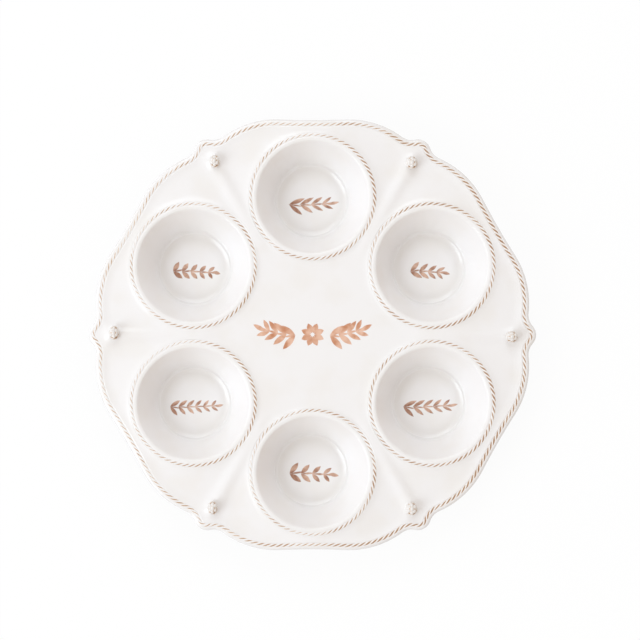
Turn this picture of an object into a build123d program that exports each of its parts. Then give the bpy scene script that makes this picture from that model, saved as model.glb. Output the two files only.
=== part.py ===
from build123d import *

import os
from math import cos, radians, sin, sqrt

# A glazed stoneware seder plate, in millimetres, +Z up, standing on z = 0.
# The origin is under the middle of the plate, on the plane of the six foot rings.
# One point of the lobed edge lies along +X, and one well along +Y.

# The wells, counter-clockwise from the first one after +X, by the food that each holds
WELL_NAMES = ["zeroa", "maror", "beitzah", "karpas", "chazeret", "charoset"]

# Thrown well cup
MOUTH_RADIUS = 48.5  # clear opening inside the lip
LIP_WIDTH = 5.9  # from the opening to the seam with the plate
LIP_STAND = 1.5  # top of the lip above the rope's seat
LIP_DROP = 2.4  # height of the lip's rounded inner edge
WELL_DEPTH = 30.0  # top of the lip down to the floor
FLOOR_RADIUS = 32.0  # flat part of the floor
STEP_HEIGHT = 1.3  # low step round the floor
STEP_BEVEL = 0.9
STEP_TREAD = 1.6
FLOOR_THICKNESS = 5.0
WALL_THICKNESS = 5.5  # measured level, through the flaring wall
FOOT_HEIGHT = 4.0
FOOT_WIDTH = 6.0
FOOT_INSET = 1.0  # foot ring inside the bottom corner of the wall
FOOT_ROUND = 1.0
LEDGE_WIDTH = 3.5  # gallery ledge that carries the plate
LEDGE_THICKNESS = 4.0
LEDGE_COVE_SAG = 2.2  # depth of the hollow under the ledge

# Lobed plate
PLATE_THICKNESS = 6.5
COLLAR_RISE = 1.6  # seat of a well rope above the deck
COLLAR_SHELF = 0.8  # level strip outside the well rope
COLLAR_SPREAD = 8.5  # width of the collar's hollow slope
COLLAR_SAG = 0.4  # how far that slope hollows below a straight line
RIM_RISE = 0.8  # seat of the rim rope above the deck
RIM_SHELF = 0.8  # level strip inside the rim rope
RIM_COVE = 6.5  # width of the slope from that strip down to the deck
WELL_GAP = 7.9  # between the ropes of neighbouring wells
SIDE_GAP = 7.0  # from a well rope to the line of the rim rope

# Lobed edge, along the line of the rim rope
SADDLE_RADIUS = 580.0  # faint hollow in the middle of each side
SHOULDER_RADIUS = 74.5
SHOULDER_SPACING = 64.0  # between the two shoulder arcs of a side
VALLEY_RADIUS = 19.0  # hollow beside each point
NOSE_RADIUS = 7.0
POINT_RISE = 11.4  # tip of a point beyond the crossing of its two shoulders
EDGE_MARGIN = 4.5  # edge of the plate beyond the rope line
EDGE_ROUND_TOP = 2.4
EDGE_ROUND_BOTTOM = 4.0

# Twisted ropes
ROPE_DIAMETER = 4.0
ROPE_SUNK = 1.9  # depth of a rope below its seat

# Ribs between the wells
RIB_RISE = 1.8  # above the deck, under the berry
RIB_ROUND = 20.0  # radius of the wide end
RIB_TAIL_RISE = 0.6
RIB_TAIL_ROUND = 8.0
RIB_ROOT = 2.0  # depth to which a rib or a collar is worked into the deck
RIB_REACH = 12.0  # tail end inside the narrowest place between two wells

# Berries
BERRY_INSET = 17.2  # berry axis inside the tip of its point
BERRY_CORE_RADIUS = 4.4
BERRY_CORE_LIFT = 2.0  # centre of the core above its seat
DRUPELET_RADIUS = 1.6
DRUPELET_ROWS = [(0, 1, 0), (38, 6, 0), (74, 11, 15), (108, 11, 0)]  # angle down, count, turn
BERRY_SEAT_DEPTH = 1.0  # seat below the crest of the rib
PEG_RADIUS = 1.8
PEG_LENGTH = 3.5

SLIP = 0.2  # thickness of the joining slip between two pieces of clay

# Radii and heights that follow
well_count = len(WELL_NAMES)
half_turn = 180 / well_count  # from a point of the edge to the next well, in degrees
rope_radius = ROPE_DIAMETER / 2
seam_radius = MOUTH_RADIUS + LIP_WIDTH
ring_outside = seam_radius + rope_radius
well_circle = (ring_outside + WELL_GAP / 2) / sin(radians(half_turn))
flat_reach = well_circle + ring_outside + SIDE_GAP

floor_z = FOOT_HEIGHT + FLOOR_THICKNESS
lip_z = floor_z + WELL_DEPTH
seat_z = lip_z - LIP_STAND
deck_z = seat_z - COLLAR_RISE
under_z = deck_z - PLATE_THICKNESS
rim_z = deck_z + RIM_RISE
rope_lift = rope_radius - ROPE_SUNK  # rope's centre line above its seat

shoulder_side = SHOULDER_SPACING / 2
shoulder_out = flat_reach + SADDLE_RADIUS - sqrt((SADDLE_RADIUS + SHOULDER_RADIUS) ** 2 - shoulder_side**2)
shoulder_along = shoulder_out * cos(radians(half_turn)) + shoulder_side * sin(radians(half_turn))
shoulder_across = shoulder_out * sin(radians(half_turn)) - shoulder_side * cos(radians(half_turn))
tip_reach = shoulder_along + sqrt(SHOULDER_RADIUS**2 - shoulder_across**2) + POINT_RISE
notch_reach = shoulder_along + sqrt((SHOULDER_RADIUS + VALLEY_RADIUS) ** 2 - shoulder_across**2)
berry_circle = tip_reach - BERRY_INSET
berry_radius = BERRY_CORE_RADIUS + DRUPELET_RADIUS


def heading(angle):
    """Unit vector in the plane of the plate."""
    return Vector(cos(radians(angle)), sin(radians(angle)))


def valley_centre(shoulder, nose, side):
    """Centre of the hollow that touches a shoulder arc and the nose arc from outside."""
    from_shoulder = SHOULDER_RADIUS + VALLEY_RADIUS
    apart = (nose - shoulder).length
    ahead = (from_shoulder**2 - (NOSE_RADIUS + VALLEY_RADIUS) ** 2 + apart**2) / (2 * apart)
    course = (nose - shoulder).normalized()
    outward = Vector(course.Y, -course.X) * side
    return shoulder + course * ahead + outward * sqrt(from_shoulder**2 - ahead**2)


def edge_line(offset, height, with_points=True):
    """The lobed edge line as tangent arcs, moved outwards by an offset, at a height."""
    arcs = []

    def add(centre, radius, start, end):
        first = (start - centre).normalized()
        last = (end - centre).normalized()
        middle = (first + last).normalized()
        lift = Vector(0, 0, height)
        arcs.append(ThreePointArc(*[centre + lift + way * radius for way in (first, middle, last)]))

    for index in range(well_count):
        middle = half_turn * (2 * index + 1)
        out = heading(middle)
        along = heading(middle + 90)
        saddle = out * (flat_reach + SADDLE_RADIUS)
        before = out * shoulder_out - along * shoulder_side
        after = out * shoulder_out + along * shoulder_side
        next_out = heading(middle + 2 * half_turn)
        next_along = heading(middle + 2 * half_turn + 90)
        following = next_out * shoulder_out - next_along * shoulder_side
        tip = heading(middle + half_turn)
        last_tip = heading(middle - half_turn)
        if with_points:
            nose = tip * (tip_reach - NOSE_RADIUS)
            entry = valley_centre(after, nose, 1)
            leave = valley_centre(following, nose, -1)
            last_leave = valley_centre(before, last_tip * (tip_reach - NOSE_RADIUS), -1)
        else:
            entry = tip * notch_reach
            last_leave = last_tip * notch_reach
        add(before, SHOULDER_RADIUS + offset, last_leave, saddle)
        add(saddle, SADDLE_RADIUS - offset, before, after)
        add(after, SHOULDER_RADIUS + offset, saddle, entry)
        if with_points:
            add(entry, VALLEY_RADIUS - offset, after, nose)
            add(nose, NOSE_RADIUS + offset, entry, leave)
            add(leave, VALLEY_RADIUS - offset, nose, following)
        else:
            add(entry, VALLEY_RADIUS - offset, after, following)
    return Wire(arcs)


def turned(*edges):
    """Solid turned about the Z axis from a closed profile of radius and height."""
    return revolve(Plane.XZ * make_face(edges), Axis.Z)


def along_edge(radius):
    """Round bar that follows the line of the rim rope."""
    line = edge_line(0, rim_z + rope_lift)
    start = Plane(origin=line @ 0, z_dir=line % 0)
    return sweep(start * Circle(radius), path=line)


def well_ring(radius):
    """Round ring over the seam of a well cup and the plate, about the well's axis."""
    return Pos(0, 0, seat_z + rope_lift) * Torus(seam_radius, radius)


def well_cup():
    """Cup with a foot ring, a low step round its floor, and a ledge under the plate."""
    neck = seam_radius - SLIP / 2
    ledge = seam_radius + LEDGE_WIDTH
    ledge_top = under_z - SLIP
    lip_edge = lip_z - LIP_DROP
    rope_side = seam_radius - rope_radius
    step_top = floor_z + STEP_HEIGHT
    tread = FLOOR_RADIUS + STEP_BEVEL
    wall_foot = tread + STEP_TREAD
    flare = (MOUTH_RADIUS - wall_foot) / (lip_edge - step_top)

    def outer_wall(height):
        return wall_foot + WALL_THICKNESS + flare * (height - step_top)

    cove_z = ledge_top - LEDGE_THICKNESS
    cove_low_z = cove_z - min(ledge - outer_wall(cove_z), (cove_z - FOOT_HEIGHT) / 2)
    cove_low = (outer_wall(cove_low_z), cove_low_z)
    cove_high = (ledge, cove_z)
    corner = outer_wall(FOOT_HEIGHT)
    foot_out = corner - FOOT_INSET
    foot_in = foot_out - FOOT_WIDTH
    lip_middle = ((rope_side + MOUTH_RADIUS) / 2, lip_z)
    profile = [
        Polyline((0, FOOT_HEIGHT), (foot_in, FOOT_HEIGHT), (foot_in, FOOT_ROUND)),
        Line((foot_in, FOOT_ROUND), (foot_in + FOOT_ROUND, 0)),
        Line((foot_in + FOOT_ROUND, 0), (foot_out - FOOT_ROUND, 0)),
        Line((foot_out - FOOT_ROUND, 0), (foot_out, FOOT_ROUND)),
        Polyline((foot_out, FOOT_ROUND), (foot_out, FOOT_HEIGHT), (corner, FOOT_HEIGHT), cove_low),
        SagittaArc(cove_low, cove_high, LEDGE_COVE_SAG),
        Polyline(cove_high, (ledge, ledge_top), (neck, ledge_top), (neck, seat_z), (rope_side, seat_z)),
        ThreePointArc((rope_side, seat_z), lip_middle, (MOUTH_RADIUS, lip_edge)),
        Polyline((MOUTH_RADIUS, lip_edge), (wall_foot, step_top), (tread, step_top)),
        Polyline((tread, step_top), (FLOOR_RADIUS, floor_z), (0, floor_z), (0, FOOT_HEIGHT)),
    ]
    return turned(*profile) - well_ring(rope_radius + SLIP)


def collar():
    """Hollow-sided collar that lifts the deck to the rope's seat round one mouth."""
    crest = ring_outside + COLLAR_SHELF
    skirt = crest + COLLAR_SPREAD
    halfway = ((crest + skirt) / 2, (seat_z + deck_z) / 2 - COLLAR_SAG)
    root_z = deck_z - RIB_ROOT
    profile = [
        Polyline((crest, seat_z), (seam_radius, seat_z), (seam_radius, root_z)),
        Polyline((seam_radius, root_z), (skirt, root_z), (skirt, deck_z)),
        ThreePointArc((skirt, deck_z), halfway, (crest, seat_z)),
    ]
    return turned(*profile)


def rib():
    """Tapered rib along +X, from a round end under the berry to a thin tail between two wells."""
    tail = well_circle * cos(radians(half_turn)) - RIB_REACH
    wide_end = Vector(berry_circle, deck_z + RIB_RISE - RIB_ROUND)
    thin_end = Vector(tail, deck_z + RIB_TAIL_RISE - RIB_TAIL_ROUND)
    run = wide_end - thin_end
    taper = (RIB_ROUND - RIB_TAIL_ROUND) / run.length
    level = sqrt(1 - taper**2)
    profile = [
        Line((-RIB_TAIL_ROUND, 0), (run.length + RIB_ROUND, 0)),
        ThreePointArc(
            (run.length + RIB_ROUND, 0),
            (run.length + RIB_ROUND * sqrt(0.5), RIB_ROUND * sqrt(0.5)),
            (run.length - RIB_ROUND * taper, RIB_ROUND * level),
        ),
        Line(
            (run.length - RIB_ROUND * taper, RIB_ROUND * level),
            (-RIB_TAIL_ROUND * taper, RIB_TAIL_ROUND * level),
        ),
        ThreePointArc(
            (-RIB_TAIL_ROUND * taper, RIB_TAIL_ROUND * level),
            (-RIB_TAIL_ROUND * sqrt(0.5), RIB_TAIL_ROUND * sqrt(0.5)),
            (-RIB_TAIL_ROUND, 0),
        ),
    ]
    teardrop = revolve(make_face(profile), Axis.X)
    lie = Plane(origin=(thin_end.X, 0, thin_end.Y), x_dir=(run.X, 0, run.Y), z_dir=(-run.Y, 0, run.X))
    span = 2 * (tip_reach + RIB_ROUND)
    below = Pos(0, 0, deck_z - RIB_ROOT) * Box(span, span, span, align=(Align.CENTER, Align.CENTER, Align.MAX))
    return lie * teardrop - below


def berry():
    """Cluster of drupelets on a round core, with a flat base and a peg, at its place along +X."""
    core = Pos(0, 0, BERRY_CORE_LIFT) * Sphere(BERRY_CORE_RADIUS)
    drupelets = []
    for down, count, turn in DRUPELET_ROWS:
        for index in range(count):
            place = Rot(0, down, 0) * Pos(0, 0, BERRY_CORE_RADIUS)
            spin = Rot(0, 0, turn + 360 * index / count)
            drupelets.append(Pos(0, 0, BERRY_CORE_LIFT) * spin * place * Sphere(DRUPELET_RADIUS))
    cluster = core.fuse(*drupelets)
    span = 4 * berry_radius
    cluster -= Box(span, span, span, align=(Align.CENTER, Align.CENTER, Align.MAX))
    peg = Cylinder(PEG_RADIUS, PEG_LENGTH + BERRY_CORE_LIFT, align=(Align.CENTER, Align.CENTER, Align.MIN))
    seat = deck_z + RIB_RISE - BERRY_SEAT_DEPTH + SLIP
    return Pos(berry_circle, 0, seat) * (cluster + Pos(0, 0, -PEG_LENGTH) * peg)


def berry_seat():
    """Space that a berry takes from its rib: a level seat and a socket for the peg."""
    seat = deck_z + RIB_RISE - BERRY_SEAT_DEPTH
    level = Cylinder(berry_radius + SLIP, RIB_RISE + RIB_ROUND, align=(Align.CENTER, Align.CENTER, Align.MIN))
    socket = Cylinder(PEG_RADIUS + SLIP, PEG_LENGTH + RIB_RISE, align=(Align.CENTER, Align.CENTER, Align.MIN))
    return Pos(berry_circle, 0, seat) * (level + Pos(0, 0, -PEG_LENGTH) * socket)


def at_points(shape):
    """Copies of a shape made along +X, one for each point of the edge."""
    return [Rot(0, 0, 2 * half_turn * index) * shape for index in range(well_count)]


def at_wells(shape):
    """Copies of a shape made about the Z axis, one on the axis of each well."""
    return [Pos(heading(half_turn * (2 * index + 1)) * well_circle) * shape for index in range(well_count)]


def plate_body():
    """Lobed plate with its rim, collars, ribs, mouths, rope channels and berry seats."""
    edge_height = rim_z - under_z
    plate = extrude(make_face(edge_line(EDGE_MARGIN, under_z)), edge_height)
    top_edges = plate.faces().sort_by(Axis.Z)[-1].edges()
    plate = fillet(top_edges, min(EDGE_ROUND_TOP, edge_height / 3))
    bottom_edges = plate.faces().sort_by(Axis.Z)[0].edges()
    plate = fillet(bottom_edges, min(EDGE_ROUND_BOTTOM, edge_height / 2))

    shelf = rope_radius + RIM_SHELF
    clear = 2 * RIM_RISE
    tray_low = edge_line(-shelf - RIM_COVE, deck_z, with_points=False)
    tray_high = edge_line(-shelf + RIM_COVE * (clear / RIM_RISE - 1), deck_z + clear, with_points=False)
    plate -= Solid.make_loft([tray_low, tray_high], ruled=True)

    plate = plate.fuse(*at_wells(collar()), *at_points(rib()))
    mouth = Pos(0, 0, deck_z) * Cylinder(seam_radius + SLIP / 2, 3 * (seat_z - under_z))
    plate = plate.cut(*at_wells(mouth), *at_wells(well_ring(rope_radius + SLIP)))
    plate = plate.cut(along_edge(rope_radius + SLIP))
    return plate.cut(*at_points(berry_seat()))


os.makedirs("parts", exist_ok=True)
pieces = {"plate_body": plate_body(), "rim_rope": along_edge(rope_radius)}
for name, cup, ring in zip(WELL_NAMES, at_wells(well_cup()), at_wells(well_ring(rope_radius))):
    pieces[f"{name}_well"] = cup
    pieces[f"{name}_well_rope"] = ring
for number, shape in enumerate(at_points(berry()), start=1):
    pieces[f"berry_{number}"] = shape
for name, shape in pieces.items():
    export_step(shape, f"parts/{name}.step")
print(f"across the points {2 * (tip_reach + EDGE_MARGIN):.1f} mm, well circle {well_circle:.1f} mm")
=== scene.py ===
from math import atan2, ceil, cos, pi, radians, sin, sqrt, tan, tau

import bmesh
import bpy
import numpy as np
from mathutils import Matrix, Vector, kdtree, noise
from mathutils.geometry import delaunay_2d_cdt


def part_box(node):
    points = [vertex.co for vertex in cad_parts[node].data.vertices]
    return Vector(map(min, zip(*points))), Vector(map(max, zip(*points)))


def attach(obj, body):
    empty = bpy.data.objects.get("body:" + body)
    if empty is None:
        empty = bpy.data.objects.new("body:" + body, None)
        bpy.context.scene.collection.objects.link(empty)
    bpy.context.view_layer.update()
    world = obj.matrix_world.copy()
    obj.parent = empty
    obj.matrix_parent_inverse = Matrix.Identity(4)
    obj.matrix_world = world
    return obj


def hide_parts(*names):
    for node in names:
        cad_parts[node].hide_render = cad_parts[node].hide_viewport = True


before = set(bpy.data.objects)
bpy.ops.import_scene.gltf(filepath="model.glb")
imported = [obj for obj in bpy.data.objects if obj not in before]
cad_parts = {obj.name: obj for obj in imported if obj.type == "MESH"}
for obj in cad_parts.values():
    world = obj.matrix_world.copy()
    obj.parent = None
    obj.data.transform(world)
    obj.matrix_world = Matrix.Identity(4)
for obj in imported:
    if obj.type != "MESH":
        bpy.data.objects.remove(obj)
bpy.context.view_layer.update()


# Well cups
# Six cups of white stoneware, thrown on the wheel: a foot ring, a dished floor inside a low crest, a flaring
# wall, a ledge that carries the plate and a rolled lip. They are dipped in white glaze and the foot ring is
# wiped bare. A leafy sprig is brushed on each floor in copper wash.
well_nodes = sorted(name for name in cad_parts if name.endswith("_well"))
cup_low, cup_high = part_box(well_nodes[0])
ledge_radius = (cup_high.x - cup_low.x) / 2
SEAM_RADIUS = 0.0544  # where the cup's neck meets the plate, under the middle of the rope
FLOOR_HEIGHT = 0.0090
FLOOR_RADIUS = 0.0310  # to the low crest round the floor
DISH_RUN = 0.0030  # the floor's edge rises to the crest over this width
DISH_ROUND = 0.0085
CREST_RISE = 0.0018
CREST_WIDTH = 0.0023
CREST_ROUND = 0.0008
WALL_COVE = 0.0022  # rounding from the crest into the wall
MOUTH_RADIUS = 0.0485
LIP_EDGE = 0.0366  # height where the inner edge starts to roll over
LIP_LEAN = 0.0010  # the inner edge leans back by this as it rolls
LIP_ROUND = 0.0016
LIP_HEIGHT = 0.0383
LIP_EASE = 0.0004  # how far the rolled inner edge lies below the highest line
LIP_CREST = 0.0514  # radius of the highest line of the lip
LIP_CROWN = 0.0030  # its rounding
LIP_BACK = 0.0015  # from the seam in to the lip's outer edge
LIP_BACK_EASE = 0.0003
LIP_BACK_ROUND = 0.0005
NECK_TOP = 0.0369
NECK_STEP = 0.0012  # from the seam in to the bottom of the lip's outer edge
NECK_ROUND = 0.0003
NECK_BEVEL = 0.0006
NECK_GAP = 0.0002  # from the seam in to the neck
LEDGE_TOP = 0.0292
LEDGE_ROUND = 0.0008
LEDGE_UNDER = 0.0252
LEDGE_UNDER_ROUND = 0.0014
COVE_ROUND = 0.0060  # below the ledge
WALL_OUTSIDE = 0.0403  # outer radius at the height of the crest; the wall is thick at its foot
OUTSIDE_FLARE = 0.48
CORNER_ROUND = 0.0009  # where the wall turns in to the foot
FOOT_HEIGHT = 0.0040
FOOT_WIDTH = 0.0060
FOOT_INSET = 0.0010
FOOT_COVE = 0.0004
FOOT_ROUND = 0.0013
FOOT_HOLLOW = 0.0008  # rounding inside the foot ring
CUP_TURNS = 192  # facets round a cup
CUP_BAND = 0.0020  # widest band of facets across its profile
ARC_STEPS = 6  # facets round a softened corner


def softened(corners):
    """Line through (across, up, rounding) corners, each rounded by an arc."""
    line = []
    for index, (across, up, rounding) in enumerate(corners):
        corner = Vector((across, up))
        if not rounding:
            line.append(corner)
            continue
        before = (Vector(corners[index - 1][:2]) - corner).normalized()
        after = (Vector(corners[index + 1][:2]) - corner).normalized()
        half = before.angle(after) / 2
        centre = corner + (before + after).normalized() * rounding / sin(half)
        first = corner + before * rounding / tan(half) - centre
        last = corner + after * rounding / tan(half) - centre
        for step in range(ARC_STEPS + 1):
            line.append(centre + first.lerp(last, step / ARC_STEPS).normalized() * rounding)
    return line


def divided(line, widest):
    """The same line with its long runs cut into equal steps."""
    cut = [line[0]]
    for start, end in zip(line, line[1:]):
        steps = max(1, ceil((end - start).length / widest))
        cut += [start.lerp(end, step / steps) for step in range(1, steps + 1)]
    return cut


def spun(line, turns):
    """Points and faces of a profile turned about the Z axis, which both its ends lie on."""
    points = [(0, 0, line[0].y)]
    for spot in line[1:-1]:
        for k in range(turns):
            angle = tau * k / turns
            points.append((spot.x * cos(angle), spot.x * sin(angle), spot.y))
    points.append((0, 0, line[-1].y))
    faces = []
    rings = len(line) - 2
    for k in range(turns):
        following = (k + 1) % turns
        faces.append((0, 1 + k, 1 + following))
        for ring in range(rings - 1):
            near = 1 + ring * turns
            far = near + turns
            faces.append((near + k, far + k, far + following, near + following))
        last = 1 + (rings - 1) * turns
        faces.append((last + k, len(points) - 1, last + following))
    return points, faces


def add_piece(name, points, faces, material, node, place=(0, 0, 0)):
    """A smooth mesh that stands for one node of the frame and rides with the plate."""
    mesh = bpy.data.meshes.new(name)
    mesh.from_pydata([tuple(point) for point in points], [], faces)
    mesh.shade_smooth()
    mesh.materials.append(material)
    piece = bpy.data.objects.new(name, mesh)
    piece.location = place
    bpy.context.scene.collection.objects.link(piece)
    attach(piece, "root")
    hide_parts(node)
    return piece


class Signal:
    """A value on its way through a material. Arithmetic adds Math nodes, and node() adds any other."""

    def __init__(self, tree, socket=None):
        self.tree = tree
        self.socket = socket

    def node(self, kind, settings, inputs, output=0):
        """Adds a node, sets its settings and then its sockets, and gives one of its outputs."""
        made = self.tree.nodes.new(kind)
        for name, value in settings.items():
            setattr(made, name, value)
        for name, value in inputs.items():
            if isinstance(value, Signal):
                self.tree.links.new(value.socket, made.inputs[name])
            else:
                made.inputs[name].default_value = value
        return Signal(self.tree, made.outputs[output])

    def output(self, name):
        """Another output of the same node."""
        return Signal(self.tree, self.socket.node.outputs[name])

    def into(self, shader, name):
        self.tree.links.new(self.socket, shader.inputs[name])

    def math(self, operation, first, second=0.0):
        return self.node("ShaderNodeMath", {"operation": operation}, {0: first, 1: second})

    def __add__(self, other):
        return self.math("ADD", self, other)

    def __sub__(self, other):
        return self.math("SUBTRACT", self, other)

    def __rsub__(self, other):
        return self.math("SUBTRACT", other, self)

    def __mul__(self, other):
        return self.math("MULTIPLY", self, other)

    __radd__ = __add__
    __rmul__ = __mul__

    def __abs__(self):
        return self.math("ABSOLUTE", self)

    def most(self, other):
        return self.math("MAXIMUM", self, other)

    def step(self, low, high):
        """Smooth rise from 0 at low to 1 at high."""
        limits = {"Value": self, "From Min": low, "From Max": high}
        return self.node("ShaderNodeMapRange", {"interpolation_type": "SMOOTHSTEP"}, limits)

    def split(self, axis):
        """One coordinate of this place; output() then gives the others."""
        return self.node("ShaderNodeSeparateXYZ", {}, {"Vector": self}, axis)

    def colour(self, first, second):
        """Mix of two colours by this value."""
        return self.node("ShaderNodeMix", {"data_type": "RGBA"}, {0: self, 6: first, 7: second}, 2)

    def cloud(self, scale, detail=2.0):
        """Soft noise about this place, from 0 to 1, with so many features to the metre."""
        return self.node("ShaderNodeTexNoise", {}, {"Vector": self, "Scale": scale, "Detail": detail})


def srgb(red, green, blue):
    """Linear colour from its usual 0 to 255 values."""
    levels = [value / 255 for value in (red, green, blue)]
    return tuple((v / 12.92 if v <= 0.04045 else ((v + 0.055) / 1.055) ** 2.4) for v in levels) + (1.0,)


GLAZE_WHITE = srgb(239, 237, 237)
GLAZE_WARM = srgb(237, 234, 232)
WARM_PATCHES = 34.0  # to the metre, as for every cloud below
WARM_RANGE = (0.40, 0.72)
SPECK_BROWN = srgb(120, 104, 92)
SPECK_CELL = 1 / 0.021  # iron specks are about this far apart
SPECK_SIZE = 0.00034
SPECK_CORE = 0.4  # share of a speck inside its soft edge
SPECK_SHARE = 0.10  # share of the cells that hold one
SPECK_DARK = 0.6  # share of the specks that are at their darkest
SPECK_COVER = 0.75
GLOSS = 0.11  # roughness of the glaze where it is smoothest
GLOSS_SPAN = 0.10
GLOSS_PATCHES = 60.0
RIPPLE_DEPTH = 0.00012
RIPPLE_STRENGTH = 0.35
RIPPLES = 95.0
FINE_RIPPLES = 380.0
FINE_SHARE = 0.15  # height of the fine ripples, as a share of the broad ones


def glazed(name, decorate):
    """White glaze on stoneware. decorate(place, colour, roughness) lays paint or bare clay over it."""
    material = bpy.data.materials.new(name)
    material.use_nodes = True
    tree = material.node_tree
    shader = tree.nodes["Principled BSDF"]
    place = Signal(tree).node("ShaderNodeTexCoord", {}, {}, "Object")
    colour = place.cloud(WARM_PATCHES).step(*WARM_RANGE).colour(GLAZE_WHITE, GLAZE_WARM)
    cell = place.node("ShaderNodeTexVoronoi", {}, {"Vector": place, "Scale": SPECK_CELL}, "Distance")
    chance = place.node("ShaderNodeSeparateColor", {}, {"Color": cell.output("Color")}, "Red")
    chosen = chance.step(1 - SPECK_SHARE, 1 - SPECK_DARK * SPECK_SHARE)
    reach = SPECK_SIZE * SPECK_CELL
    speck = (1 - cell.step(SPECK_CORE * reach, reach)) * chosen
    colour = (speck * SPECK_COVER).colour(colour, SPECK_BROWN)
    roughness = place.cloud(GLOSS_PATCHES) * GLOSS_SPAN + GLOSS
    colour, roughness = decorate(place, colour, roughness)
    ripple = place.cloud(RIPPLES, detail=1.0) + place.cloud(FINE_RIPPLES, detail=1.0) * FINE_SHARE
    relief = {"Strength": RIPPLE_STRENGTH, "Distance": RIPPLE_DEPTH, "Height": ripple}
    bump = place.node("ShaderNodeBump", {}, relief, "Normal")
    colour.into(shader, "Base Color")
    roughness.into(shader, "Roughness")
    bump.into(shader, "Normal")
    return material


def leaf(place, base, angle, length, width):
    """Distance inside a pointed brush stroke that starts at base; below 0 outside it."""
    middle = Vector(base) + Vector((cos(angle), sin(angle))) * length / 2
    fitting = {
        "Vector": place,
        "Location": (*middle, 0),
        "Rotation": (0, 0, angle),
        "Scale": (length / 2, width / 2, 1),
    }
    stroke = place.node("ShaderNodeMapping", {"vector_type": "TEXTURE"}, fitting)
    ahead = stroke.split("X")
    return (1 - ahead * ahead - abs(ahead.output("Y"))) * (width / 2)


LEAF_TAPER = 0.35  # the leaves at the tip are smaller by this share
STEM_OVERLAP = 1.25  # length of one stroke of the stem, in spaces between the pairs
STEM_WIDTH = 0.34  # width of the stem as a share of a leaf's
TIP_SHARE = 0.7  # size of the leaf at the tip, as a share of the others


def sprig(place, root, course, pairs, spread, length, width, bow):
    """A painted stem, its strokes turned as on a bent twig, with pairs of leaves that shorten to its tip."""
    root = Vector(root)
    course = Vector(course)
    aside = Vector((-course.y, course.x))
    heading = atan2(course.y, course.x)
    painted = None
    for pair in range(pairs):
        share = (pair + 0.5) / pairs
        spot = root + course * share + aside * bow * (1 - (2 * share - 1) ** 2)
        lean = heading - atan2(4 * bow * (2 * share - 1), course.length)
        size = 1.0 - LEAF_TAPER * share
        for side in (1, -1):
            stroke = leaf(place, spot, lean + side * spread, length * size, width * size)
            painted = painted.most(stroke) if painted else stroke
        stem = leaf(place, spot, lean, course.length / pairs * STEM_OVERLAP, width * STEM_WIDTH)
        painted = painted.most(stem)
    lean = heading - atan2(4 * bow, course.length)
    return painted.most(leaf(place, root + course, lean, length * TIP_SHARE, width * TIP_SHARE))


WASH_LIGHT = srgb(216, 163, 127)
WASH_DEEP = srgb(132, 79, 54)
WASH_EDGE = 0.00035  # softness of a brush stroke's edge
WASH_STRAY = 0.0006  # how far the edge strays
WASH_MOTTLE = 420.0
WASH_STREAKS = 120.0
STREAK_RANGE = (0.28, 0.70)
STREAK_SHARE = 0.75  # share of the tint that follows the streaks; the rest follows the mottle
WASH_COVER = 0.76  # where it is thinnest
WASH_COVER_SPAN = 0.22
WASH_ROUGHER = 0.12
PAINT_REACH = 0.0015  # paint lies within this height of the surface that it is brushed on
PAINT_FADE = 0.8  # it fades from this share of the reach


def washed(place, strokes, level, light, deep, colour, roughness):
    """Copper-brown wash brushed in strokes on the surface at one level."""
    away = abs(place.split("Z") - level)
    on_surface = 1 - away.step(PAINT_FADE * PAINT_REACH, PAINT_REACH)
    mottle = place.cloud(WASH_MOTTLE, detail=3.0)
    strength = place.cloud(WASH_STREAKS).step(*STREAK_RANGE)
    ragged = strokes + (mottle - 0.5) * WASH_STRAY
    cover = ragged.step(-WASH_EDGE, WASH_EDGE) * on_surface
    tint = (strength * STREAK_SHARE + mottle * (1 - STREAK_SHARE)).colour(light, deep)
    colour = (cover * (strength * WASH_COVER_SPAN + WASH_COVER)).colour(colour, tint)
    return colour, roughness + cover * WASH_ROUGHER


# Painted shade, partly real pooled glaze: a greyer ring on a well's floor just inside the crest, where shade
# falls
GLAZE_POOL_SHADE = srgb(206, 199, 190)
POOL_SHADE_TINT = 0.20
POOL_SHADE_START = 0.013  # how far inside the crest the pool and its painted shade start, are deepest and begin to end
POOL_SHADE_DEEPEST = 0.002
POOL_SHADE_END = 0.0008


def pooled_and_shaded(place, colour):
    """Glaze that ran together inside the crest round a well's floor, a little greyer where it is thick; the
    grey ring is partly painted shade in the floor's corner.
    """
    across = place.split("X")
    ahead = across.output("Y")
    radius = place.math("SQRT", across * across + ahead * ahead)
    gathered = radius.step(FLOOR_RADIUS - POOL_SHADE_START, FLOOR_RADIUS - POOL_SHADE_DEEPEST)
    ended = radius.step(FLOOR_RADIUS - POOL_SHADE_END, FLOOR_RADIUS)
    return (gathered * (1 - ended) * POOL_SHADE_TINT).colour(colour, GLAZE_POOL_SHADE)


BARE_CLAY = srgb(214, 200, 182)
BARE_DARK = srgb(193, 176, 156)
BARE_BELOW = 0.0021  # the foot is wiped clean up to this height
BARE_FADE = 0.0005
BARE_WAVER = 0.0012  # how far the edge of the glaze wavers
BARE_WAVES = 180.0
CLAY_GRIT = 900.0
GRIT_RANGE = (0.35, 0.75)
CLAY_ROUGHER = 0.6


def bare_foot(place, colour, roughness):
    """Unglazed, slightly gritty clay at the foot ring, with an uneven edge to the glaze."""
    height = place.split("Z") + place.cloud(BARE_WAVES) * BARE_WAVER
    bare = 1 - height.step(BARE_BELOW, BARE_BELOW + BARE_FADE)
    clay = place.cloud(CLAY_GRIT, detail=3.0).step(*GRIT_RANGE).colour(BARE_CLAY, BARE_DARK)
    return bare.colour(colour, clay), roughness + bare * CLAY_ROUGHER


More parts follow.
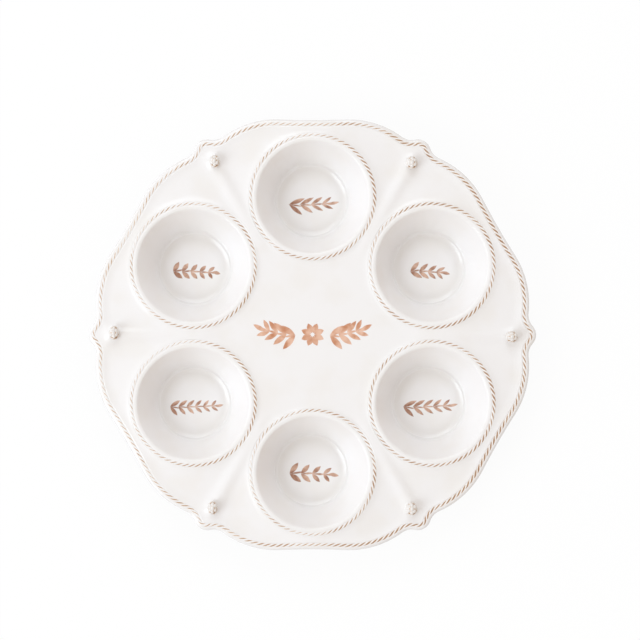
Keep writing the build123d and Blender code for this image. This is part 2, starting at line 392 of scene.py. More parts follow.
SPRIGS = {  # stem, pairs of leaves, their angle to the stem, length and width, and the stem's bow
    "zeroa_well": (0.031, 4, radians(38), 0.0125, 0.0040, 0.0020),
    "maror_well": (0.039, 4, radians(30), 0.0155, 0.0038, -0.0020),
    "beitzah_well": (0.039, 5, radians(48), 0.0105, 0.0044, 0.0026),
    "karpas_well": (0.044, 6, radians(42), 0.0105, 0.0034, -0.0024),
    "chazeret_well": (0.040, 4, radians(44), 0.0130, 0.0048, 0.0020),
    "charoset_well": (0.044, 5, radians(34), 0.0135, 0.0036, -0.0026),
}
SPRIG_DROP = 0.0030  # the sprigs sit a little below the middle of the floor


def cup_finish(stem, pairs, spread, length, width, bow):
    """Pooled glaze with painted shade inside the crest, one sprig on the floor and the bare foot, to decorate
    a glaze with.
    """

    def decorate(place, colour, roughness):
        root = (-(stem + TIP_SHARE * length) / 2, -SPRIG_DROP)
        strokes = sprig(place, root, (stem, 0), pairs, spread, length, width, bow)
        # painted shade with pooled glaze: a greyer ring just inside the crest
        colour = pooled_and_shaded(place, colour)
        colour, roughness = washed(place, strokes, FLOOR_HEIGHT, WASH_LIGHT, WASH_DEEP, colour, roughness)
        return bare_foot(place, colour, roughness)

    return decorate


crest = FLOOR_HEIGHT + CREST_RISE
corner_radius = WALL_OUTSIDE - OUTSIDE_FLARE * (crest - FOOT_HEIGHT)
cove_radius = WALL_OUTSIDE + OUTSIDE_FLARE * (LEDGE_UNDER - crest)
foot_outside = corner_radius - FOOT_INSET
cup_profile = divided(
    softened([
        (0, FLOOR_HEIGHT, 0),
        (FLOOR_RADIUS - DISH_RUN, FLOOR_HEIGHT, DISH_ROUND),
        (FLOOR_RADIUS, crest, CREST_ROUND),
        (FLOOR_RADIUS + CREST_WIDTH, crest, WALL_COVE),
        (MOUTH_RADIUS, LIP_EDGE, LIP_ROUND),
        (MOUTH_RADIUS + LIP_LEAN, LIP_HEIGHT - LIP_EASE, LIP_ROUND),
        (LIP_CREST, LIP_HEIGHT, LIP_CROWN),
        (SEAM_RADIUS - LIP_BACK, LIP_HEIGHT - LIP_BACK_EASE, LIP_BACK_ROUND),
        (SEAM_RADIUS - NECK_STEP, NECK_TOP, NECK_ROUND),
        (SEAM_RADIUS - NECK_GAP, NECK_TOP - NECK_BEVEL, 0),
        (SEAM_RADIUS - NECK_GAP, LEDGE_TOP, 0),
        (ledge_radius, LEDGE_TOP, LEDGE_ROUND),
        (ledge_radius, LEDGE_UNDER, LEDGE_UNDER_ROUND),
        (cove_radius, LEDGE_UNDER, COVE_ROUND),
        (corner_radius, FOOT_HEIGHT, CORNER_ROUND),
        (foot_outside, FOOT_HEIGHT, FOOT_COVE),
        (foot_outside, 0, FOOT_ROUND),
        (foot_outside - FOOT_WIDTH, 0, FOOT_ROUND),
        (foot_outside - FOOT_WIDTH, FOOT_HEIGHT, FOOT_HOLLOW),
        (0, FOOT_HEIGHT, 0),
    ]),
    CUP_BAND,
)
cup_points, cup_faces = spun(cup_profile, CUP_TURNS)
for node in well_nodes:
    low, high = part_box(node)
    axis = ((low.x + high.x) / 2, (low.y + high.y) / 2, 0)
    finish = glazed(f"{node}_glaze", cup_finish(*SPRIGS[node]))
    add_piece(f"{node}_cup", cup_points, cup_faces, finish, node, axis)


# Lobed plate
# One slab of the same stoneware, pressed over a mould: a lobed edge, a raised rim, six collared mouths and
# six soft ribs that run in from the points. It is set down on the ledges of the cups and glazed with them,
# and a rosette between two branches is brushed on its middle.
well_axes = np.array([((low + high) / 2)[:2] for low, high in map(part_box, well_nodes)])
well_circle = float(np.linalg.norm(well_axes[0]))
plate_low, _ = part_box("plate_body")
rope_low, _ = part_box("rim_rope")
under_height = plate_low.z
WELLS = len(well_nodes)
HALF_TURN = pi / WELLS
ROPE_RADIUS = 0.0020
RIM_GAP = 0.0070  # from the rope of a well to the line of the rim rope
SADDLE_RADIUS = 0.580  # the nearly straight side of the edge beside each well
SHOULDER_RADIUS = 0.0745
SHOULDER_SIDE = 0.032  # from the middle of a saddle to the centre of a shoulder, along the edge
VALLEY_RADIUS = 0.019  # the hollow beside a point
NOSE_RADIUS = 0.007
POINT_RISE = 0.0114  # reach of a point beyond the shoulders
EDGE_MARGIN = 0.00449  # from the line of the rim rope to the outer edge
EDGE_STEP = 0.0013  # spacing of the mesh along the edge

DECK_HEIGHT = 0.03680  # in the middle of the plate
SHELF = 0.0028  # from the rope line to the inner edge of the rim's level strip
RIM_RISE = 0.00080
RIM_COVE = 0.0070
COVE_SOFT = 0.07  # rounding at the head of the cove, as a share of its height
COVE_LIMIT = 1.6  # the cove's curve is followed out to here, in widths of the cove from its foot
COLLAR_OUT = 0.0015  # from the seam to the crest of a collar, under the side of its rope
COLLAR_RISE = 0.00110
COLLAR_REACH = 0.0018
FLANGE_SLOPE = 0.150  # fall of the flange away from the wells, at its steepest
FLANGE_START = 0.0020  # it falls from this far outside the crest of a collar
FLANGE_REACH = 0.020
FLANGE_INNER = 0.095  # the flange starts to fall at this distance from the middle
FLANGE_OUTER = 0.135
RIB_RISE = 0.0026
RIB_TAIL_RISE = 0.0013
RIB_WIDTH = 0.0062
RIB_TAIL_WIDTH = 0.0048
RIB_TAIL_IN = 0.006  # a rib's tail starts this far inside the line between two wells
RIB_TAIL_FADE = 0.35  # how fast it fades from there, against the head
BOSS_RISE = 0.0006  # low swelling under a berry
BOSS_WIDTH = 0.0075
SOFTNESS = 0.0020  # how widely two collars melt together


def along(angle):
    return np.array([cos(angle), sin(angle)])


ring_outside = SEAM_RADIUS + ROPE_RADIUS
flat_reach = well_circle + ring_outside + RIM_GAP
shoulder_out = flat_reach + SADDLE_RADIUS - sqrt((SADDLE_RADIUS + SHOULDER_RADIUS) ** 2 - SHOULDER_SIDE**2)
shoulder_ahead = shoulder_out * cos(HALF_TURN) + SHOULDER_SIDE * sin(HALF_TURN)
shoulder_aside = shoulder_out * sin(HALF_TURN) - SHOULDER_SIDE * cos(HALF_TURN)
tip_reach = shoulder_ahead + sqrt(SHOULDER_RADIUS**2 - shoulder_aside**2) + POINT_RISE
notch_reach = shoulder_ahead + sqrt((SHOULDER_RADIUS + VALLEY_RADIUS) ** 2 - shoulder_aside**2)
berry_low, berry_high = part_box("berry_1")
berry_reach = (berry_low.x + berry_high.x) / 2
tail_reach = well_circle * cos(HALF_TURN) - RIB_TAIL_IN


def hollow_centre(shoulder, nose, side):
    """Centre of the hollow beside a point, which touches a shoulder arc and the nose arc."""
    from_shoulder = SHOULDER_RADIUS + VALLEY_RADIUS
    apart = np.linalg.norm(nose - shoulder)
    course = (nose - shoulder) / apart
    ahead = (from_shoulder**2 - (NOSE_RADIUS + VALLEY_RADIUS) ** 2 + apart**2) / (2 * apart)
    aside = side * np.array([course[1], -course[0]])
    return shoulder + course * ahead + aside * sqrt(from_shoulder**2 - ahead**2)


def edge_arcs(with_points):
    """Tangent arcs along the rim rope: centre, radius, 1 where it bulges out or -1, first angle, turn."""
    arcs = []

    def add(centre, radius, bulge, start, end):
        first = atan2(*(start - centre)[::-1])
        last = atan2(*(end - centre)[::-1])
        arcs.append((centre, radius, bulge, first, (last - first + pi) % tau - pi))

    for index in range(WELLS):
        middle = HALF_TURN * (2 * index + 1)
        out = along(middle)
        side = along(middle + pi / 2)
        saddle = out * (flat_reach + SADDLE_RADIUS)
        before = out * shoulder_out - side * SHOULDER_SIDE
        after = out * shoulder_out + side * SHOULDER_SIDE
        next_middle = middle + 2 * HALF_TURN
        following = along(next_middle) * shoulder_out - along(next_middle + pi / 2) * SHOULDER_SIDE
        nose = along(middle + HALF_TURN) * (tip_reach - NOSE_RADIUS)
        last_nose = along(middle - HALF_TURN) * (tip_reach - NOSE_RADIUS)
        if with_points:
            entry = hollow_centre(after, nose, 1)
            leave = hollow_centre(following, nose, -1)
            last_leave = hollow_centre(before, last_nose, -1)
        else:
            entry = along(middle + HALF_TURN) * notch_reach
            last_leave = along(middle - HALF_TURN) * notch_reach
        add(before, SHOULDER_RADIUS, 1, last_leave, saddle)
        add(saddle, SADDLE_RADIUS, -1, before, after)
        add(after, SHOULDER_RADIUS, 1, saddle, entry)
        if with_points:
            add(entry, VALLEY_RADIUS, -1, after, nose)
            add(nose, NOSE_RADIUS, 1, entry, leave)
            add(leave, VALLEY_RADIUS, -1, nose, following)
        else:
            add(entry, VALLEY_RADIUS, -1, after, following)
    return arcs


def edge_line(arcs, offset):
    """Points along the arcs, moved outwards by an offset; each has its fellow in any other offset."""
    points = []
    for centre, radius, bulge, first, turn in arcs:
        steps = ceil((radius + max(bulge, 0) * EDGE_MARGIN) * abs(turn) / EDGE_STEP)
        angles = first + turn * np.arange(steps) / steps
        points.append(centre + (radius + bulge * offset) * np.stack([np.cos(angles), np.sin(angles)], 1))
    return np.concatenate(points)


pointed_arcs = edge_arcs(True)
tray_line = edge_line(edge_arcs(False), -SHELF)


def nearest(line, spots):
    """Distance from each spot to the nearest point of a line."""
    tree = kdtree.KDTree(len(line))
    for index, point in enumerate(line):
        tree.insert((*point, 0), index)
    tree.balance()
    return np.array([tree.find((*spot, 0))[2] for spot in spots])


def inside(line, spots):
    """Which spots lie inside a line that goes once round the middle of the plate."""
    order = np.argsort(np.arctan2(line[:, 1], line[:, 0]))
    bearing = np.arctan2(line[order, 1], line[order, 0])
    reach = np.linalg.norm(line[order], axis=1)
    limit = np.interp(np.arctan2(spots[:, 1], spots[:, 0]), bearing, reach, period=tau)
    return np.linalg.norm(spots, axis=1) < limit


def hollow_slope(run):
    """Hollow slope from 1 at its head to 0 at its foot, rounded over at the head."""
    fall = np.clip(1 - run, 0, COVE_LIMIT) ** 2
    return -COVE_SOFT * np.log(np.exp(-1 / COVE_SOFT) + np.exp(-fall / COVE_SOFT))


def deck_height(spots):
    """Height of the upper face: level in the middle, falling from the wells to the rim, with six ribs."""
    ranges = np.stack([np.linalg.norm(spots - axis, axis=1) for axis in well_axes])
    away = -SOFTNESS * np.log(np.exp(-ranges / SOFTNESS).sum(axis=0)) - (SEAM_RADIUS + COLLAR_OUT)
    height = DECK_HEIGHT + COLLAR_RISE * np.exp(-np.maximum(away, 0) / COLLAR_REACH)
    outward = np.clip((np.linalg.norm(spots, axis=1) - FLANGE_INNER) / (FLANGE_OUTER - FLANGE_INNER), 0, 1)
    fall = FLANGE_SLOPE * FLANGE_REACH * (1 - np.exp(-np.maximum(away - FLANGE_START, 0) / FLANGE_REACH))
    height -= fall * outward**2 * (3 - 2 * outward)
    depth = np.where(inside(tray_line, spots), 1, -1) * nearest(tray_line, spots)
    height += RIM_RISE * hollow_slope(depth / RIM_COVE)
    for index in range(WELLS):
        ahead = spots @ along(2 * HALF_TURN * index)
        aside = spots @ along(2 * HALF_TURN * index + pi / 2)
        share = np.clip((ahead - tail_reach) / (berry_reach - tail_reach), 0, 1)
        rise = RIB_TAIL_RISE + (RIB_RISE - RIB_TAIL_RISE) * share
        width = RIB_TAIL_WIDTH + (RIB_WIDTH - RIB_TAIL_WIDTH) * share
        beyond = np.maximum(ahead - berry_reach, 0) + np.maximum(tail_reach - ahead, 0) * RIB_TAIL_FADE
        height += rise * np.exp(-((aside / width) ** 2) - (beyond / width) ** 2)
        height += BOSS_RISE * np.exp(-(aside**2 + (ahead - berry_reach) ** 2) / BOSS_WIDTH**2)
    return height


# The edge in section, from the channel for the rope over the roll and round to the underside: offset from the
# rope line, height above the rim and, for the roll, rounding
CHANNEL = [
    (-0.0016, 0.00035), (-0.0013, -0.0002), (-0.0007, -0.0008), (0, -0.0010),
    (0.0007, -0.0008), (0.0013, -0.0002), (0.0016, 0.00035),
]
EDGE_ROLL = [(0.0019, 0.0003, 0), (0.0029, -0.0002, 0.0020), (0.0039, -0.0013, 0.0020)]
EDGE_SIDE = 0.0032  # below the rim, where the edge stands upright
EDGE_ROUND = 0.0012
UNDER_ROUND = 0.0036
UNDER_RETURN = 0.0050
EDGE_BAND = 0.0012  # widest band of facets round the edge
edge_depth = rope_low.z + ROPE_RADIUS - under_height
edge_section = [Vector(spot) for spot in CHANNEL]
edge_section += divided(
    softened([
        *EDGE_ROLL,
        (EDGE_MARGIN, -EDGE_SIDE, EDGE_ROUND),
        (EDGE_MARGIN, -edge_depth, UNDER_ROUND),
        (EDGE_MARGIN - UNDER_RETURN, -edge_depth, 0),
    ]),
    EDGE_BAND,
)

DECK_STEP = 0.0019
UNDER_STEP = 0.009
MOUTH_STEPS = 240
MOUTH_GAP = 0.0001  # from the seam out to the wall of a mouth
COLLAR_RINGS = [  # rings of mesh points round a mouth, from its wall outwards
    0.0006, 0.0012, 0.0018, 0.0024, 0.0031, 0.0039, 0.0048,
    0.0058, 0.0069, 0.0081, 0.0094, 0.0108, 0.0123,
]
GRID_REACH = 0.2  # half the side of a square that holds the plate
ROW_HEIGHT = sqrt(0.75)  # of even triangles, in steps
RING_CLEAR = 0.5  # least distances between rings, grid and outline, in steps
GRID_CLEAR = 0.7
OUTLINE_CLEAR = 0.75
SAME_POINT = 1e-7
mouth_wall = SEAM_RADIUS + MOUTH_GAP


def round_each_well(radius, steps):
    """Rings of points about the axis of every well."""
    angles = tau * np.arange(steps) / steps
    ring = radius * np.stack([np.cos(angles), np.sin(angles)], 1)
    return [axis + ring for axis in well_axes]


def panel(outline, spare, height):
    """Triangles that fill an outline round the six mouths, with spare points between, at a given height."""
    loops = [outline, *round_each_well(mouth_wall, MOUTH_STEPS)]
    spots = np.concatenate([*loops, spare])
    links = []
    start = 0
    for loop in loops:
        count = len(loop)
        links += [(start + k, start + (k + 1) % count) for k in range(count)]
        start += count
    flat, _, triangles, *_ = delaunay_2d_cdt([Vector(spot) for spot in spots], links, [], 0, SAME_POINT)
    flat = np.array([tuple(spot) for spot in flat])
    triangles = np.array(triangles)
    middles = flat[triangles].mean(axis=1)
    kept = inside(outline, middles)
    for axis in well_axes:
        kept &= np.linalg.norm(middles - axis, axis=1) > mouth_wall * cos(pi / MOUTH_STEPS)
    return np.column_stack([flat, height(flat)]), triangles[kept]


def spare_points(outline, step, rings):
    """Points for the inside of a panel: rings round the mouths and an even grid between them."""
    spots = []
    for index, axis in enumerate(well_axes):
        others = np.delete(well_axes, index, axis=0)
        for ring in rings:
            radius = mouth_wall + ring
            for spot in round_each_well(radius, MOUTH_STEPS)[index]:
                if np.linalg.norm(others - spot, axis=1).min() > radius + RING_CLEAR * step:
                    spots.append(spot)
    spots = np.array(spots).reshape(-1, 2)
    columns = np.arange(-GRID_REACH, GRID_REACH, step)
    rows = np.arange(-GRID_REACH, GRID_REACH, step * ROW_HEIGHT)
    grid = np.array([(x + (k % 2) * step / 2, y) for k, y in enumerate(rows) for x in columns])
    clear = mouth_wall + (rings[-1] if rings else 0) + GRID_CLEAR * step
    for axis in well_axes:
        grid = grid[np.linalg.norm(grid - axis, axis=1) > clear]
    spots = np.concatenate([spots, grid])
    spots = spots[inside(outline, spots)]
    return spots[nearest(outline, spots) > OUTLINE_CLEAR * step]


GROOVE_SIDE = 0.0015
GROOVE_DEPTH = 0.0015


def grooved(spots):
    """The upper face with the hollows that the well ropes lie in."""
    height = deck_height(spots)
    for axis in well_axes:
        away = np.linalg.norm(spots - axis, axis=1) - SEAM_RADIUS
        height -= GROOVE_DEPTH * np.sqrt(np.clip(1 - (away / GROOVE_SIDE) ** 2, 0, 1))
    return height


def underside(spots):
    return np.full(len(spots), under_height)


deck_outline = edge_line(pointed_arcs, -SHELF)
deck_points, deck_faces = panel(deck_outline, spare_points(deck_outline, DECK_STEP, COLLAR_RINGS), grooved)
under_outline = edge_line(pointed_arcs, edge_section[-1].x)
under_points, under_faces = panel(under_outline, spare_points(under_outline, UNDER_STEP, []), underside)

WELD = 1e-6
plate_mesh = bmesh.new()


def add_faces(points, faces):
    corners = [plate_mesh.verts.new(point) for point in points]
    for face in faces:
        plate_mesh.faces.new([corners[k] for k in face])


add_faces(deck_points, deck_faces)
add_faces(under_points, under_faces[:, ::-1])
rim_heights = deck_height(edge_line(pointed_arcs, 0))
edge_rings = [np.column_stack([deck_outline, grooved(deck_outline)])]
for spot in edge_section:
    share = 1 + min(spot.y, 0) / edge_depth
    heights = under_height + (rim_heights - under_height) * share + max(spot.y, 0)
    edge_rings.append(np.column_stack([edge_line(pointed_arcs, spot.x), heights]))
count = len(deck_outline)
edge_faces = []
for ring in range(len(edge_rings) - 1):
    near = ring * count
    far = near + count
    for k in range(count):
        following = (k + 1) % count
        edge_faces.append((near + k, far + k, far + following, near + following))
add_faces(np.concatenate(edge_rings), edge_faces)
mouth_faces = []
for k in range(MOUTH_STEPS):
    following = (k + 1) % MOUTH_STEPS
    mouth_faces.append((k, following, MOUTH_STEPS + following, MOUTH_STEPS + k))
for ring in round_each_well(mouth_wall, MOUTH_STEPS):
    top = np.column_stack([ring, grooved(ring)])
    bottom = np.column_stack([ring, underside(ring)])
    add_faces(np.concatenate([top, bottom]), mouth_faces)
bmesh.ops.remove_doubles(plate_mesh, verts=plate_mesh.verts, dist=WELD)
plate_points = [vert.co.copy() for vert in plate_mesh.verts]
plate_mesh.verts.index_update()
plate_faces = [[vert.index for vert in face.verts] for face in plate_mesh.faces]
plate_mesh.free()

MIDDLE_LIGHT = srgb(230, 174, 136)
MIDDLE_DEEP = srgb(188, 121, 84)
ROSETTE_PETALS = 8
ROSETTE_SIZE = 0.0105
ROSETTE_EYE = 0.0014
PETAL_WIDTH = 0.0052
BRANCH_ROOT = 0.0115  # from the middle of the rosette
BRANCH_DROP = 0.001
BRANCH_LENGTH = 0.0300
BRANCH_LIFT = 0.004
BRANCH_BOW = 0.0030
BRANCH_LEAVES = {"pairs": 4, "spread": radians(40), "length": 0.0170, "width": 0.0056}


def plate_finish(place, colour, roughness):
    """A rosette between two leafy branches, brushed on the middle of the deck."""
    strokes = None
    for petal in range(ROSETTE_PETALS):
        angle = tau * (petal + 0.5) / ROSETTE_PETALS
        base = (ROSETTE_EYE * cos(angle), ROSETTE_EYE * sin(angle))
        stroke = leaf(place, base, angle, ROSETTE_SIZE - ROSETTE_EYE, PETAL_WIDTH)
        strokes = strokes.most(stroke) if strokes else stroke
    for side in (1, -1):
        root = (side * BRANCH_ROOT, -BRANCH_DROP)
        course = (side * BRANCH_LENGTH, BRANCH_LIFT)
        strokes = strokes.most(sprig(place, root, course, bow=-side * BRANCH_BOW, **BRANCH_LEAVES))
    return washed(place, strokes, DECK_HEIGHT, MIDDLE_LIGHT, MIDDLE_DEEP, colour, roughness)


plate_glaze = glazed("plate_glaze", plate_finish)
add_piece("lobed_plate", plate_points, plate_faces, plate_glaze, "plate_body")


# Well ropes
# A rope of four thin clay strands, laid up by hand round the lip of each well and stuck down with slip over
# the seam of cup and plate. Copper wash is rubbed into the lay and wiped off the crowns before glazing. Where
# a rope faces the light, the wash is drawn thinner as painted light.
STRANDS = 4
ROPE_FLATTEN = 0.34  # height of the rope as a share of its width
ROPE_SINK = 0.0001  # centre line below the seat
ROPE_SWELL = 0.030  # how unevenly thick it is, as a share
ROPE_SWELLS = 130  # thick places to the metre
LAY_DEPTH = 0.00042
LAY_FULLNESS = 0.8  # power of a strand's round back; lower is fuller
STRAND_FACETS = 8
WELL_MARKS = 63  # strands that cross the crown in one turn of the ring
RINGS_PER_MARK = 8
PAINT_TAPER = 1.8  # how fast a painted groove narrows to both sides of the crown
LIT_SIDE_BEARING = radians(168)  # painted light: the wash is drawn thinner where a rope faces this way, towards the light
LIT_SIDE_THINNING = 0.09


def lay(centre, outward, marks, seed):
    """A closed rope along centre points, its strands turning inwards as they go round counter-clockwise."""
    facets = STRANDS * STRAND_FACETS
    rings = len(centre)
    turn = tau * marks / STRANDS * np.arange(rings) / rings
    across = np.arange(facets) % STRAND_FACETS / STRAND_FACETS
    groove = np.abs(2 * across - 1)
    profile = ROPE_RADIUS - LAY_DEPTH * (1 - np.cos(groove * pi / 2) ** LAY_FULLNESS)
    points = np.empty((rings, facets, 3))
    paint = np.empty((rings, facets))
    for k in range(rings):
        swell = 1 + ROPE_SWELL * noise.noise((*(centre[k, :2] * ROPE_SWELLS), seed))
        angle = tau * np.arange(facets) / facets + turn[k]
        reach = np.minimum(profile * swell, ROPE_RADIUS)
        points[k, :, :2] = centre[k, :2] + outward[k] * (reach * np.cos(angle))[:, None]
        points[k, :, 2] = centre[k, 2] + reach * np.sin(angle) * ROPE_FLATTEN
        # painted light: thinner wash on the side of each rope that faces the light
        thinned_in_light = LIT_SIDE_THINNING * (outward[k] @ along(LIT_SIDE_BEARING))
        paint[k] = groove - PAINT_TAPER * (1 - np.sin(angle)) ** 2 - thinned_in_light
    shift = round(facets * marks / STRANDS) % facets
    faces = []
    for k in range(rings):
        slip = shift if k == rings - 1 else 0
        following = (k + 1) % rings
        for j in range(facets):
            step = (j + 1) % facets
            faces.append((
                k * facets + j, following * facets + (j + slip) % facets,
                following * facets + (step + slip) % facets, k * facets + step,
            ))
    return points.reshape(-1, 3), faces, paint.ravel()


WASH_PALE = srgb(220, 186, 148)
WASH_ROPE = srgb(138, 92, 58)
LIT_LEFT_REACH = 0.18  # painted light: the wash is drawn thinner on the lit left of the plate, over this reach
LIT_LEFT_LOSS = 0.14
WORN_PATCHES = 30.0
WORN_RANGE = (0.34, 0.62)
WORN_LOSS = 0.20
DEEP_FROM = 0.12  # the tint deepens from this much below full cover
DEEP_TO = 0.20
DEEP_SHARE = 0.75  # share of the tint that follows the depth; the rest is uneven
TINT_PATCHES = 300.0
RUBBED_COVER = 0.92
RUBBED_ROUGHER = 0.15


def rubbed(attribute, low, high, grain, spread):
    """Copper wash left in the hollows of a relief, darker where they are deep, thin and missing in places,
    and drawn thinner towards the lit left of the plate as painted light.
    """

    def decorate(place, colour, roughness):
        hollow = place.node("ShaderNodeAttribute", {"attribute_name": attribute}, {}, "Fac")
        worn = 1 - place.cloud(WORN_PATCHES).step(*WORN_RANGE)
        # painted light: the wash thins towards the lit left of the plate
        thinned_in_light = 0.5 - place.split("X").step(-LIT_LEFT_REACH, LIT_LEFT_REACH)
        uneven = (place.cloud(grain) - 0.5) * spread
        ragged = hollow + uneven - worn * WORN_LOSS - thinned_in_light * LIT_LEFT_LOSS
        cover = ragged.step(low, high)
        deep = ragged.step(high - DEEP_FROM, high + DEEP_TO)
        patches = place.cloud(TINT_PATCHES)
        tint = (deep * DEEP_SHARE + patches * (1 - DEEP_SHARE)).colour(WASH_PALE, WASH_ROPE)
        return (cover * RUBBED_COVER).colour(colour, tint), roughness + cover * RUBBED_ROUGHER

    return decorate


def add_rope(name, centre, outward, marks, node, seed, material):
    points, faces, groove = lay(centre, outward, marks, seed)
    piece = add_piece(name, points, faces, material, node)
    hollow = piece.data.attributes.new("groove", "FLOAT", "POINT")
    hollow.data.foreach_set("value", groove.astype(np.float32))


WELL_WASH = (0.43, 0.68)  # depth of groove where the wash starts, and where it covers
STROKE_GRAIN = 520.0
STROKE_SPREAD = 0.30
rope_finish = glazed("rope_glaze", rubbed("groove", *WELL_WASH, STROKE_GRAIN, STROKE_SPREAD))
for index, node in enumerate(well_nodes):
    low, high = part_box(f"{node}_rope")
    count = WELL_MARKS * RINGS_PER_MARK
    angles = tau * np.arange(count) / count
    outward = np.stack([np.cos(angles), np.sin(angles)], 1)
    height = (low.z + high.z) / 2 - ROPE_SINK
    middle = np.array([(low.x + high.x) / 2, (low.y + high.y) / 2])
    centre = np.column_stack([middle + SEAM_RADIUS * outward, np.full(count, height)])
    add_rope(f"{node}_twist", centre, outward, WELL_MARKS, f"{node}_rope", index, rope_finish)


# Rim rope
# The same clay rope, long enough to follow the lobed edge of the plate once round, stuck down with slip in a
# channel in the rim. It takes the copper wash a little more than the ropes of the wells do.
RIM_MARKS = 216
RIM_WASH = (0.31, 0.67)
SIDE_STEP = 0.001  # a step aside from the line, which gives the way outwards
line = edge_line(pointed_arcs, 0)
closed = np.vstack([line, line[:1]])
run = np.concatenate([[0], np.cumsum(np.linalg.norm(np.diff(closed, axis=0), axis=1))])
outer = edge_line(pointed_arcs, SIDE_STEP) - line
outer = np.vstack([outer, outer[:1]])
count = RIM_MARKS * RINGS_PER_MARK
stations = run[-1] * np.arange(count) / count
rope_line = np.stack([np.interp(stations, run, closed[:, k]) for k in range(2)], 1)
outward = np.stack([np.interp(stations, run, outer[:, k]) for k in range(2)], 1)
outward /= np.linalg.norm(outward, axis=1)[:, None]
rope_line = np.column_stack([rope_line, deck_height(rope_line) - ROPE_SINK])
rim_finish = glazed("rim_glaze", rubbed("groove", *RIM_WASH, STROKE_GRAIN, STROKE_SPREAD))
add_rope("rim_twist", rope_line, outward, RIM_MARKS, "rim_rope", WELLS, rim_finish)


# Berries
# A small raspberry of clay pressed in a sprig mould for each point of the edge, set on the rib with a peg and
# slip. A thin veil of copper wash lies over it, and more stays in the creases between its drupelets.
CORE_RADIUS = 0.0040
CORE_SHARE = 0.97  # where no drupelet reaches, the core lies this low
DRUPELET_RADIUS = 0.0019
DRUPELET_ROWS = [(0, 1), (45, 6), (85, 10), (122, 10)]  # degrees down from the top, how many
DRUPELET_MELT = 0.00030  # how widely they run into each other
DRUPELETS_MET = 3  # about so many meet in one place
TURN_STRAY = 0.15  # radians
TILT_STRAY = 0.10
TURN_SEED = 0.5
TILT_SEED = 7.5
CREASE_REACH = 0.48  # radians from the top of a drupelet to the bottom of a crease
BERRIES = [  # how far each was set from its mark, then its width and length
    (-0.0010, -0.0020, 0.0115, 0.0102),
    (-0.0008, -0.0012, 0.0110, 0.0115),
    (0.0018, 0.0000, 0.0094, 0.0112),
    (0.0013, 0.0015, 0.0094, 0.0126),
    (0.0000, 0.0000, 0.0092, 0.0120),
    (-0.0010, -0.0008, 0.0106, 0.0122),
]
BERRY_SINK = 0.0006  # pressed down by this from its place in the frame
BERRY_DETAIL = 6


def berry_mesh(seed):
    """Points, faces and crease depth of a berry about the centre of its core."""
    drupelets = []
    for row, (down, number) in enumerate(DRUPELET_ROWS):
        for k in range(number):
            turn = tau * (k + 0.5 * row) / number
            turn += TURN_STRAY * noise.noise(Vector((k, row, seed + TURN_SEED)))
            tilt = radians(down) + TILT_STRAY * noise.noise(Vector((k, row, seed + TILT_SEED)))
            drupelets.append((sin(tilt) * cos(turn), sin(tilt) * sin(turn), cos(tilt)))
    drupelets = np.array(drupelets)
    ball = bmesh.new()
    bmesh.ops.create_icosphere(ball, subdivisions=BERRY_DETAIL, radius=1)
    ways = np.array([vert.co for vert in ball.verts])
    ball.verts.index_update()
    faces = [[vert.index for vert in face.verts] for face in ball.faces]
    ball.free()
    lined = np.clip(ways @ drupelets.T, -1, 1)
    swell = np.clip(DRUPELET_RADIUS**2 - CORE_RADIUS**2 * (1 - lined**2), 0, None)
    swollen = CORE_RADIUS * lined + np.sqrt(swell)
    reach = np.where((swell > 0) & (lined > 0), swollen, CORE_SHARE * CORE_RADIUS)
    piled = np.exp((reach - CORE_RADIUS) / DRUPELET_MELT).sum(axis=1)
    melted = DRUPELET_MELT * np.log(piled / DRUPELETS_MET) + CORE_RADIUS
    crease = np.clip(np.arccos(lined).min(axis=1) / CREASE_REACH, 0, 1)
    return ways * melted[:, None], faces, crease


BERRY_VEIL = srgb(219, 212, 205)
VEIL_PATCHES = 200.0
VEIL_RANGE = (0.2, 0.8)
VEIL_COVER = 0.35  # where it is thinnest
VEIL_COVER_SPAN = 0.3
CREASE_WASH = (0.56, 0.76)
CREASE_GRAIN = 260.0
CREASE_SPREAD = 0.95


def berry_wash(place, colour, roughness):
    """A thin veil of wash over the whole berry, and more of it in the creases."""
    veil = place.cloud(VEIL_PATCHES).step(*VEIL_RANGE) * VEIL_COVER_SPAN + VEIL_COVER
    creases = rubbed("crease", *CREASE_WASH, CREASE_GRAIN, CREASE_SPREAD)
    return creases(place, veil.colour(colour, BERRY_VEIL), roughness)


berry_finish = glazed("berry_glaze", berry_wash)
for number, (aside, ahead, width, length) in enumerate(BERRIES, start=1):
    low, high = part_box(f"berry_{number}")
    points, faces, crease = berry_mesh(number)
    points *= [width / np.ptp(points[:, 0]), length / np.ptp(points[:, 1]), 1]
    top = points[:, 2].max()
    place = ((low.x + high.x) / 2 + aside, (low.y + high.y) / 2 + ahead, high.z - BERRY_SINK - top)
    name = f"raspberry_{number}"
    piece = add_piece(name, points, faces, berry_finish, f"berry_{number}", place)
    hollow = piece.data.attributes.new("crease", "FLOAT", "POINT")
    hollow.data.foreach_set("value", crease.astype(np.float32))


# Studio
# A plain white table under two large soft windows, on the left and at the far side, and an even fill from all
# round. The camera looks straight down, from a place left of the plate's middle and towards its near edge.
TABLE_SIZE = 12.0
TABLE_DROP = 0.0002  # just below the feet
reach = TABLE_SIZE / 2
table_corners = [(-reach, -reach, 0), (reach, -reach, 0), (reach, reach, 0), (-reach, reach, 0)]
table_mesh = bpy.data.meshes.new("table")
table_mesh.from_pydata(table_corners, [], [(0, 1, 2, 3)])
table = bpy.data.objects.new("table", table_mesh)
table.location.z = -TABLE_DROP
bpy.context.scene.collection.objects.link(table)

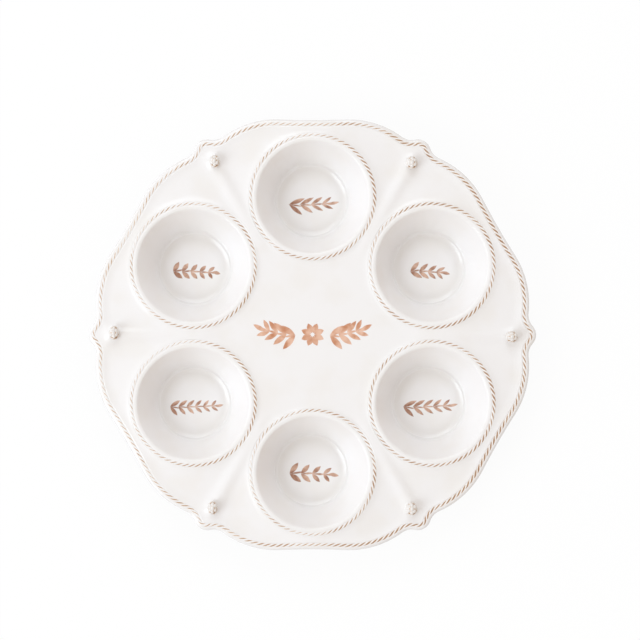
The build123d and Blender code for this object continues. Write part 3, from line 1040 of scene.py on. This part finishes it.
TABLE_WHITE = srgb(190, 190, 190)
TABLE_ROUGHNESS = 0.9
TABLE_LIFT = 0.88  # share of the table's picture that is plain white
TABLE_GLOW = 1.06
PLAIN_WHITE = (1, 1, 1, 1)
table_finish = bpy.data.materials.new("table_white")
table_finish.use_nodes = True
tree = table_finish.node_tree
shader = tree.nodes["Principled BSDF"]
shader.inputs["Base Color"].default_value = TABLE_WHITE
shader.inputs["Roughness"].default_value = TABLE_ROUGHNESS
shader.inputs["Specular IOR Level"].default_value = 0.0
rays = Signal(tree).node("ShaderNodeLightPath", {}, {}, "Is Camera Ray")
seen = rays.most(rays.output("Is Glossy Ray")).most(rays.output("Is Transmission Ray"))
lit = Signal(tree, shader.outputs[0])
white = rays.node("ShaderNodeEmission", {}, {"Color": PLAIN_WHITE, "Strength": TABLE_GLOW})
shown = rays.node("ShaderNodeMixShader", {}, {0: seen * TABLE_LIFT, 1: lit, 2: white})
shown.into(tree.nodes["Material Output"], "Surface")
table_mesh.materials.append(table_finish)

FILL_LEVEL = 0.77
FILL_COLOUR = (1.0, 0.929, 0.865, 1.0)
ZENITH_LEVEL = 0.67  # the fill is weaker from straight above, where the camera stands in its way
ZENITH_EDGE = radians(48)
ZENITH_CORE = radians(22)
world = bpy.data.worlds.new("studio")
world.use_nodes = True
bpy.context.scene.world = world
tree = world.node_tree
background = tree.nodes["Background"]
background.inputs["Color"].default_value = FILL_COLOUR
background.inputs["Strength"].default_value = FILL_LEVEL
ways = Signal(tree).node("ShaderNodeTexCoord", {}, {}, "Generated")
overhead = ways.split("Z").step(cos(ZENITH_EDGE), cos(ZENITH_CORE))
around = Signal(tree, background.outputs[0])
zenith = ways.node("ShaderNodeBackground", {}, {"Color": FILL_COLOUR, "Strength": ZENITH_LEVEL})
fill = ways.node("ShaderNodeMixShader", {}, {0: overhead, 1: around, 2: zenith})
rays = Signal(tree).node("ShaderNodeLightPath", {}, {}, "Is Camera Ray")
seen = rays.most(rays.output("Is Transmission Ray"))
white = rays.node("ShaderNodeBackground", {}, {"Color": PLAIN_WHITE, "Strength": 1.0})
sky = rays.node("ShaderNodeMixShader", {}, {0: seen, 1: fill, 2: white})
sky.into(tree.nodes["World Output"], "Surface")

WINDOWS = {"left_window": (205, 35, 79.0), "far_window": (100, 40, 47.0)}  # bearing, lift, power
DAYLIGHT = (0.80, 0.91, 1.0)
WINDOW_SIZE = 2.9
WINDOW_DISTANCE = 4.0
for name, (bearing, lift, power) in WINDOWS.items():
    window = bpy.data.lights.new(name, "AREA")
    window.shape = "DISK"
    window.size = WINDOW_SIZE
    window.energy = power
    window.color = DAYLIGHT
    lamp = bpy.data.objects.new(name, window)
    toward = Vector((*along(radians(bearing)) * cos(radians(lift)), sin(radians(lift))))
    lamp.location = toward * WINDOW_DISTANCE
    lamp.rotation_mode = "QUATERNION"
    lamp.rotation_quaternion = toward.to_track_quat("Z", "Y")
    bpy.context.scene.collection.objects.link(lamp)

CAMERA_HEIGHT = 1.25  # above the deck
CAMERA_STAND = Vector((-0.040, -0.048))  # the place on the plate that is straight below it
FRAME_WIDTH = 0.561  # width of the picture at the height of the deck
FRAME_MIDDLE = Vector((0.0065, 0.0128))
lens = bpy.data.cameras.new("camera")
lens.sensor_width = 36.0
lens.lens = lens.sensor_width * CAMERA_HEIGHT / FRAME_WIDTH
lens.shift_x, lens.shift_y = (FRAME_MIDDLE - CAMERA_STAND) / FRAME_WIDTH
camera = bpy.data.objects.new("camera", lens)
camera.location = (*CAMERA_STAND, DECK_HEIGHT + CAMERA_HEIGHT)
bpy.context.scene.collection.objects.link(camera)
bpy.context.scene.camera = camera
bpy.context.scene.view_settings.view_transform = "Standard"
